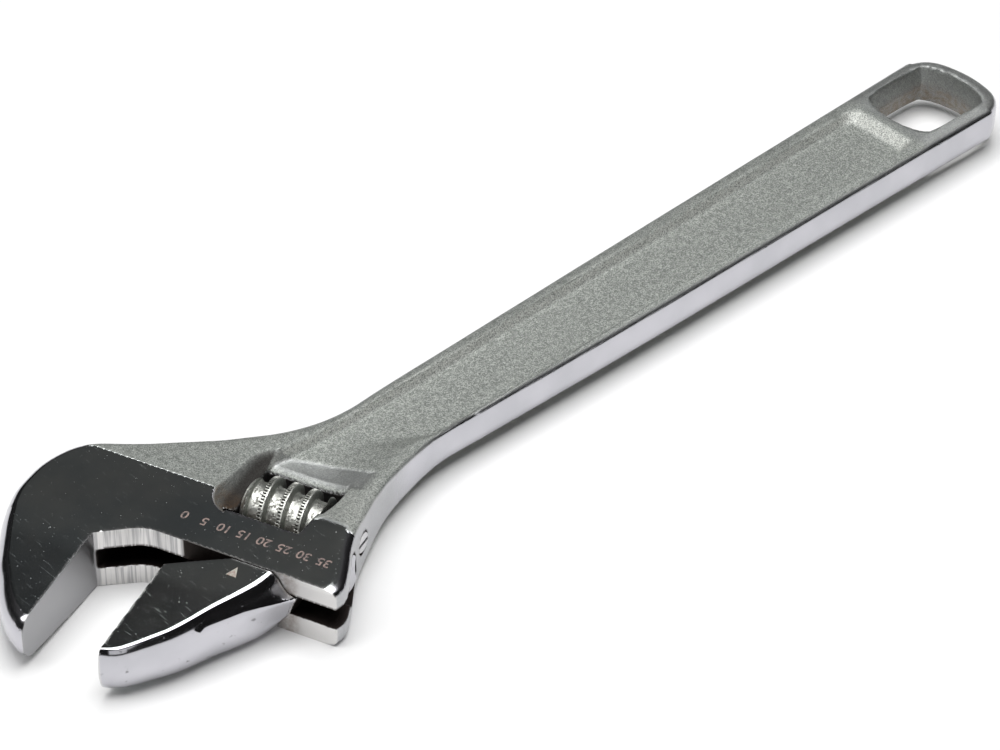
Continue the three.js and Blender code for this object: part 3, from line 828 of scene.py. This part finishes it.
class WrenchFinish(bpy.types.PropertyGroup):
    """Colours of the wrench's finishes."""

    plate_light: color_setting("Plate, light", "Bright plated steel", (0.56, 0.555, 0.59))
    plate_dark: color_setting("Plate, dark", "Plated steel where it is cloudy", (0.49, 0.49, 0.52))
    grain: color_setting("Grain, light", "Brightest grains of the blasted flats", (0.62, 0.64, 0.61))
    # painted highlight colour for the recess's far and end slopes and beside the window
    worn: color_setting("Grain, worn", "Blasted slopes that are rubbed bright", (0.9, 0.91, 0.87))
    grain_dark: color_setting("Grain, dark", "The hollows of the blasted flats", (0.22, 0.235, 0.22))
    ground: color_setting("Ground face", "The head's ground and plated faces", (0.42, 0.46, 0.47))
    ground_dull: color_setting("Ground face, dull", "Clouded ground faces", (0.58, 0.6, 0.58))
    milled: color_setting("Milled face", "Throat and guides", (0.72, 0.71, 0.7))
    dull: color_setting("Dull face", "The fixed jaw's face, and throat streaks", (0.34, 0.34, 0.35))
    # brown for the stains in the hanging hole and on the guide, and for painted shade in the scoop
    stain: color_setting("Stain", "Brownish stains", (0.2, 0.13, 0.08))
    # painted shade: this near-black colour darkens the body's cuts, scoop and guide and the jaw's rack and
    # rear face; it is also the colour of pits, worm dirt and the spring wire
    inner: color_setting("Oily inside", "Old oil in the slot, channel and thread", (0.04, 0.033, 0.03))
    scratch: color_setting("Scratch", "Fine scratches on the ground faces", (0.85, 0.87, 0.87))
    zinc: color_setting("Zinc", "The worm's zinc plate", (0.78, 0.79, 0.74))
    zinc_dark: color_setting("Zinc, cloudy", "Cloudy places in the zinc plate", (0.56, 0.57, 0.53))
    # painted shade colour for the worm's flanks that face the way the jaw opens
    zinc_dull: color_setting("Zinc, dull", "The flanks of the worm's thread", (0.24, 0.25, 0.24))
    etch: color_setting("Etched mark", "Numerals of the scale", (0.36, 0.27, 0.24))
    etch_dark: color_setting("Etched mark, worn", "Worn places in the numerals", (0.12, 0.1, 0.1))
    pointer: color_setting("Pointer", "The pointer on the sliding jaw", (0.5, 0.5, 0.44))


class WrenchStage(bpy.types.PropertyGroup):
    """Floor, light and camera."""

    floor: color_setting("Floor", "The plain pale floor", (0.93, 0.93, 0.93))
    overhead: power_setting("Overhead", "Power of the overhead light", 19.5)
    front: power_setting("Front", "Power of the light beside the camera", 2.0)
    left: power_setting("Left", "Power of the light on the left", 5.0)
    backdrop: power_setting("Backdrop", "Power of the dim card behind the wrench", 0.55)
    room: FloatProperty(name="Room", description="Brightness of the room in reflections", default=0.012)
    lens: FloatProperty(name="Lens", description="Focal length in millimetres", default=144.13)
    azimuth: angle_setting("Azimuth", "Way that the camera stands round the wrench", -43.472)
    elevation: angle_setting("Elevation", "Camera's height above the horizon", 39.892)
    roll: angle_setting("Roll", "Camera's turn about its own axis", 0.116)


# ------------------------------------------------------------------ finishes of the body
class BodyPlaces:
    """Where each finish is on the body, worked out at its vertices."""

    def __init__(self, vertices, field):
        self.x, self.y, self.z = vertices.T
        self.u, self.v = head_frame(self.x, self.y)
        self.tall = np.abs(self.z)
        self.cuts = body_cuts(self.u, self.v, self.z)
        self.top = top_half(self.x, self.y)
        self.on_top = rise(self.tall, self.top - 1.6, self.top - 0.5) * (self.cuts["window"] > 0.3)
        self.at_mouth = np.abs(self.cuts["mouth"]) < ON_SURFACE
        self.scooped = rise(np.abs(self.cuts["scoop"]), 0.3, 0.1)
        self.hole = rise(np.abs(field.hanging_hole(self.x, self.y, self.z)), 0.5, 0.1)
        self.right_wall = rise(self.u, 39, 43)

    def below(self):
        """How deep a place lies below the ground faces; far from them off the head's faces."""
        soft = 1 - 0.88 * self.right_wall
        depth = np.maximum(ground_half(self.v) - self.tall, 0) * soft
        return np.where(self.on_top > 0.5, depth, 9.0)

    def grain(self):
        """Blasted flats and slopes, the hanging hole's wall and the thumb scoop."""
        forged = rise(ground_half(self.v) - forged_half(self.u, self.v), -0.08, -0.02)
        calm = 0.35 * relief(self.u, self.v) + 0.3 * rise(self.x, 242, 246)
        beside_window = rise(self.u, 43, 45) * rise(self.x, 72, 60) * (self.cuts["window"] > 1)
        wall = 0.3 * (self.on_top < 0.5) * beside_window
        flats = self.on_top * forged * (1 - calm)
        blasted = np.maximum(flats, np.maximum(0.75 * self.hole, wall))
        return blasted + (0.85 - blasted) * self.scooped

    def wear(self):
        """Painted highlight: bright speckled colour on the recess's far and end slopes, and beside the
        window.
        """
        recess = recess_depth(self.x, self.y)
        far_side = rise(self.y + 0.09 * (self.x - 100), -13, -10) + rise(self.x, 236, 239)
        beside_window = self.right_wall * rise(self.v, 50, 36) * self.on_top * rise(self.v, 25, 29)
        return np.clip(4 * recess * (1 - recess) * far_side + 0.42 * beside_window, 0, 1)

    def oily(self):
        """Painted shade: near-black on the walls of the slot, channel, pin bore and window, in the scoop,
        darker towards its bottom, and on the guide behind the sliding jaw.
        """
        cuts = self.cuts
        bored = least(least(cuts["slot"], cuts["channel"]), cuts["pin"]) < 0.1
        bored = bored & (self.tall < ground_half(self.v) - 1)
        window = 0.9 * (np.abs(cuts["window"]) < ON_SURFACE) * (self.tall < self.top - 0.15)
        scoop = (0.12 + 0.75 * rise(self.tall, 6.9, 4.6)) * self.scooped
        behind_jaw = self.at_mouth * rise(self.u, 18.6, 19.4) * rise(self.u, 36, 33)
        return np.maximum(np.maximum(bored, window), np.maximum(scoop, behind_jaw))

    def stain(self):
        """Brownish colour: painted shade in the scoop's end towards the mouth, and stains in the hanging
        hole, browner towards its lower side, and on the guide.
        """
        # painted shade: brown in the scoop, strongest at its end towards the mouth
        scoop = 0.7 * self.scooped * rise(self.v, 31, 24)
        hole = 0.7 * self.hole * rise(self.z, 2.0, -1.0)
        guide = 0.5 * self.at_mouth * rise(self.u, 42, 44) * rise(self.u, 49, 46)
        return np.clip(scoop + hole + guide, 0, 1)


# ------------------------------------------------------------------ operators
class WRENCH_OT_stage(bpy.types.Operator):
    """Floor, soft light and camera"""

    bl_idname = "wrench.stage"
    bl_label = "Stage"

    def execute(self, context):
        stage = context.scene.wrench_stage
        self.floor(stage)
        self.light("overhead", stage.overhead, (0.05, 0.0, 1.25), 1.2)
        self.light("front", stage.front, (-0.75, -0.95, 0.55), 0.9)
        self.light("left", stage.left, (-0.95, 0.45, 1.25), 0.7)
        self.light("backdrop", stage.backdrop, (1.4, 1.5, 1.3), 1.7)
        self.room(context.scene, stage)
        self.camera(context.scene, stage)
        context.scene.view_settings.view_transform = "Standard"
        return {"FINISHED"}

    def floor(self, stage):
        """A plain square that the wrench lies on."""
        mesh = bpy.data.meshes.new("floor")
        reach = 3.0
        corners = [(-reach, -reach, 0), (reach, -reach, 0), (reach, reach, 0), (-reach, reach, 0)]
        mesh.from_pydata(corners, [], [(0, 1, 2, 3)])
        floor = bpy.data.objects.new("floor", mesh)
        bpy.context.scene.collection.objects.link(floor)
        mesh.materials.append(floor_material(stage))

    def light(self, name, power, place, size):
        """A soft square light that faces the wrench."""
        lamp = bpy.data.lights.new(name, "AREA")
        lamp.energy = power
        lamp.size = size
        light = bpy.data.objects.new(name, lamp)
        light.location = place
        light.rotation_euler = (-Vector(place)).to_track_quat("-Z", "Y").to_euler()
        bpy.context.scene.collection.objects.link(light)

    def room(self, scene, stage):
        """The dim room that the plated faces mirror."""
        world = bpy.data.worlds.new("room")
        world.use_nodes = True
        world.node_tree.nodes["Background"].inputs["Color"].default_value = rgba([stage.room] * 3)
        scene.world = world

    def camera(self, scene, stage):
        """The camera, which looks down on the jaws' side of the head."""
        data = bpy.data.cameras.new("camera")
        data.lens = stage.lens
        data.sensor_width = 36.0
        data.clip_start, data.clip_end = 0.05, 20.0
        camera = bpy.data.objects.new("camera", data)
        camera.location = THROAT + CAMERA_PLACE
        back = Vector((math.sin(stage.azimuth) * math.cos(stage.elevation),
                       -math.cos(stage.azimuth) * math.cos(stage.elevation),
                       math.sin(stage.elevation)))
        roll = Matrix.Rotation(stage.roll, 4, "Z")
        turned = (-back).to_track_quat("-Z", "Y").to_matrix().to_4x4() @ roll
        camera.rotation_euler = turned.to_euler()
        scene.collection.objects.link(camera)
        scene.camera = camera


class WRENCH_OT_body(bpy.types.Operator):
    """Forged body with the fixed jaw, head and handle"""

    bl_idname = "wrench.body"
    bl_label = "Body"

    def execute(self, context):
        meshing = context.scene.wrench_meshing
        cell = meshing.head_cell * 1000
        along = meshing.handle_cell * 1000
        field = BodyField()
        axes = (
            steps((-31.5, 66, cell), (66, 236, along), (236, 277.2, cell * 1.25)),
            steps((-58.8, 29.6, cell)),
            steps((-8.6, 8.6, cell)),
        )
        mesh, vertices = field_mesh("forged_body", field, axes, HANDLE_TO_PART)
        places = BodyPlaces(vertices, field)
        mark(mesh, "below", places.below())
        mark(mesh, "grain", places.grain())
        mark(mesh, "milled", places.at_mouth)
        mark(mesh, "streaked", places.at_mouth * rise(places.u, 0.1, 0.4) * rise(places.u, 46, 40))
        mark(mesh, "dull", places.at_mouth * rise(places.u, 0.3, 0.1))
        # painted highlight on the recess's far and end slopes and beside the window
        mark(mesh, "wear", places.wear())
        # painted shade in the cuts, the scoop and behind the sliding jaw
        mark(mesh, "inner", places.oily())
        mark(mesh, "stain", places.stain())
        material = body_material(context.scene.wrench_finish)
        add_piece("forged_body", mesh, material, "root", "body")
        return {"FINISHED"}


class WRENCH_OT_jaw(bpy.types.Operator):
    """Sliding jaw with its web and rack"""

    bl_idname = "wrench.jaw"
    bl_label = "Sliding jaw"

    def execute(self, context):
        cell = context.scene.wrench_meshing.jaw_cell * 1000
        axes = (
            steps((RACK_START - 0.5, RACK_END + 0.6, cell)),
            steps((-32, 25.8, cell)),
            steps((-8.6, 8.6, cell)),
        )
        mesh, vertices = field_mesh("jaw_forging", JawField(), axes, HEAD_TO_PART)
        u, v, z = vertices.T
        below = np.maximum(ground_half(v) - np.abs(z), 0)
        grip = np.abs(u - OPENING) < ON_SURFACE
        guided = np.abs(v - GUIDE + JAW_GAP) < ON_SURFACE
        rear = (v > (u - OPENING) * math.tan(REAR_ANGLE) + REAR_START - 0.3) & (u < 33) & (v > -1.5)
        rack = (v > GUIDE - 0.2) & (u < 50)
        mark(mesh, "below", below)
        mark(mesh, "milled", grip | guided)
        # painted shade on the rack, and on the face behind the tip below the ground face
        mark(mesh, "inner", rack | (rear & (below > 0.3)))
        material = jaw_material(context.scene.wrench_finish)
        add_piece("jaw_forging", mesh, material, "jaw", "sliding_jaw")
        return {"FINISHED"}


class WRENCH_OT_worm(bpy.types.Operator):
    """Knurled adjusting worm"""

    bl_idname = "wrench.worm"
    bl_label = "Adjusting worm"

    def execute(self, context):
        cell = context.scene.wrench_meshing.worm_cell * 1000
        reach = WORM_RADIUS + 3 * cell
        axes = (
            steps((WORM_START - 0.4, WORM_END + 0.4, cell)),
            steps((WORM_AXIS - reach, WORM_AXIS + reach, cell)),
            steps((-reach, reach, cell)),
        )
        mesh, vertices = field_mesh("knurled_worm", worm_field, axes, HEAD_TO_PART, 0.01)
        u, v, z = vertices.T
        height = np.sqrt((v - WORM_AXIS) ** 2 + z ** 2) - WORM_CORE
        faces_along = np.array([vertex.normal.dot(OPENS) for vertex in mesh.vertices])
        in_notch = rise(height, 2.1, 1.9) * rise(height, 1.2, 1.5)
        # painted shade on the thread's flanks that face the way the jaw opens
        mark(mesh, "shaded_flank", rise(height, 0.15, 0.5) * rise(faces_along, 0.35, 0.7))
        mark(mesh, "root", rise(height, 0.4, 0.1))
        mark(mesh, "notch", in_notch * rise(np.abs(faces_along), 0.5, 0.3))
        material = worm_material(context.scene.wrench_finish)
        add_piece("knurled_worm", mesh, material, "worm", "adjusting_worm")
        return {"FINISHED"}


class WRENCH_OT_pin(bpy.types.Operator):
    """Slotted pin and friction spring of the worm"""

    bl_idname = "wrench.pin"
    bl_label = "Pin and spring"

    def execute(self, context):
        meshing = context.scene.wrench_meshing
        cell = meshing.pin_cell * 1000
        reach = PIN_HEAD + 0.5
        axes = (
            steps((PIN_HOLE_END - 0.1, PIN_TOP + 0.5, cell)),
            steps((WORM_AXIS - reach, WORM_AXIS + reach, cell)),
            steps((-reach, reach, cell)),
        )
        mesh, _ = field_mesh("slotted_pin", pin_field, axes, HEAD_TO_PART, 0.01)
        finish = context.scene.wrench_finish
        add_piece("slotted_pin", mesh, pin_material(finish), "root", "worm_pin")
        mesh = self.coil(meshing.wire_sides)
        add_piece("friction_spring", mesh, spring_material(finish), "root", "worm_spring")
        return {"FINISHED"}

    def coil(self, wire_sides):
        """A coil of round wire inside the worm's pocket."""
        turns, points_a_turn, radius, wire = 3.5, 24, 2.9, 0.34
        start, length = WORM_START + 0.35, 3.7
        count = int(turns * points_a_turn)
        curve = bpy.data.curves.new("friction_spring", "CURVE")
        curve.dimensions = "3D"
        curve.bevel_depth = wire * 0.001
        curve.bevel_resolution = wire_sides
        curve.use_fill_caps = True
        spline = curve.splines.new("POLY")
        spline.points.add(count)
        for i, point in enumerate(spline.points):
            share = i / count
            angle = 2 * math.pi * turns * share
            v, z = WORM_AXIS + radius * math.cos(angle), radius * math.sin(angle)
            point.co = (*(HEAD_TO_PART @ Vector((start + length * share, v, z))), 1)
        mesh = curve_mesh(curve)
        mesh.polygons.foreach_set("use_smooth", [True] * len(mesh.polygons))
        return mesh


class WRENCH_OT_scale(bpy.types.Operator):
    """Etched millimetre scale and the jaw's pointer"""

    bl_idname = "wrench.scale"
    bl_label = "Scale"

    def execute(self, context):
        finish = context.scene.wrench_finish
        material = etch_material("etched_numeral", finish.etch, finish.etch_dark)
        for millimetres in range(0, 40, 5):
            self.numeral(str(millimetres), SCALE_ZERO + millimetres, material)
        self.pointer(etch_material("etched_pointer", finish.pointer, finish.etch))
        return {"FINISHED"}

    def numeral(self, text, u, material):
        """One number, flat on the ground face, read from the handle's side."""
        curve = bpy.data.curves.new("scale_" + text, "FONT")
        curve.body = text
        curve.size = NUMERAL_SIZE
        curve.align_x, curve.align_y = "CENTER", "CENTER"
        curve.extrude = 0.008
        curve.offset = 0.04
        mesh = curve_mesh(curve)
        place = Matrix.Translation((u, SCALE_ROW, HALF_HEAD + MARK_LIFT / 2))
        mesh.transform(HEAD_TO_PART @ place @ Matrix.Rotation(math.pi, 4, "Z"))
        add_piece("scale_" + text, mesh, material, "root")

    def pointer(self, material):
        """A small triangle on the sliding jaw that points at the scale."""
        u, v = 34.25, 2.9
        half_width, half_length, sunk = 1.25, 1.55, 0.02
        corners = [(u - half_width, v - half_length), (u + half_width, v - half_length),
                   (u, v + half_length)]
        low = [(a, b, HALF_HEAD - sunk) for a, b in corners]
        high = [(a, b, HALF_HEAD + MARK_LIFT) for a, b in corners]
        faces = [(2, 1, 0), (3, 4, 5), (0, 1, 4, 3), (1, 2, 5, 4), (2, 0, 3, 5)]
        mesh = bpy.data.meshes.new("jaw_pointer")
        mesh.from_pydata(low + high, [], faces)
        mesh.transform(HEAD_TO_PART)
        add_piece("jaw_pointer", mesh, material, "jaw")


class WRENCH_PT_panel(bpy.types.Panel):
    """The wrench's pieces and settings"""

    bl_label = "Adjustable wrench"
    bl_idname = "WRENCH_PT_panel"
    bl_space_type = "VIEW_3D"
    bl_region_type = "UI"
    bl_category = "Wrench"

    def draw(self, context):
        for operator in OPERATORS:
            self.layout.operator(operator.bl_idname)
        for group in SETTINGS:
            box = self.layout.box()
            settings = getattr(context.scene, group)
            for name in settings.__annotations__:
                box.prop(settings, name)


OPERATORS = (WRENCH_OT_stage, WRENCH_OT_body, WRENCH_OT_jaw, WRENCH_OT_worm, WRENCH_OT_pin,
             WRENCH_OT_scale)
SETTINGS = {"wrench_meshing": WrenchMeshing, "wrench_finish": WrenchFinish, "wrench_stage": WrenchStage}


def register():
    for item in (*SETTINGS.values(), *OPERATORS, WRENCH_PT_panel):
        bpy.utils.register_class(item)
    for name, group in SETTINGS.items():
        setattr(bpy.types.Scene, name, PointerProperty(type=group))


def unregister():
    for name in SETTINGS:
        delattr(bpy.types.Scene, name)
    for item in (WRENCH_PT_panel, *reversed(OPERATORS), *reversed(SETTINGS.values())):
        bpy.utils.unregister_class(item)


def main():
    register()
    bpy.ops.wrench.stage()
    bpy.ops.wrench.body()
    bpy.ops.wrench.jaw()
    bpy.ops.wrench.worm()
    bpy.ops.wrench.pin()
    bpy.ops.wrench.scale()


if __name__ == "__main__":
    main()
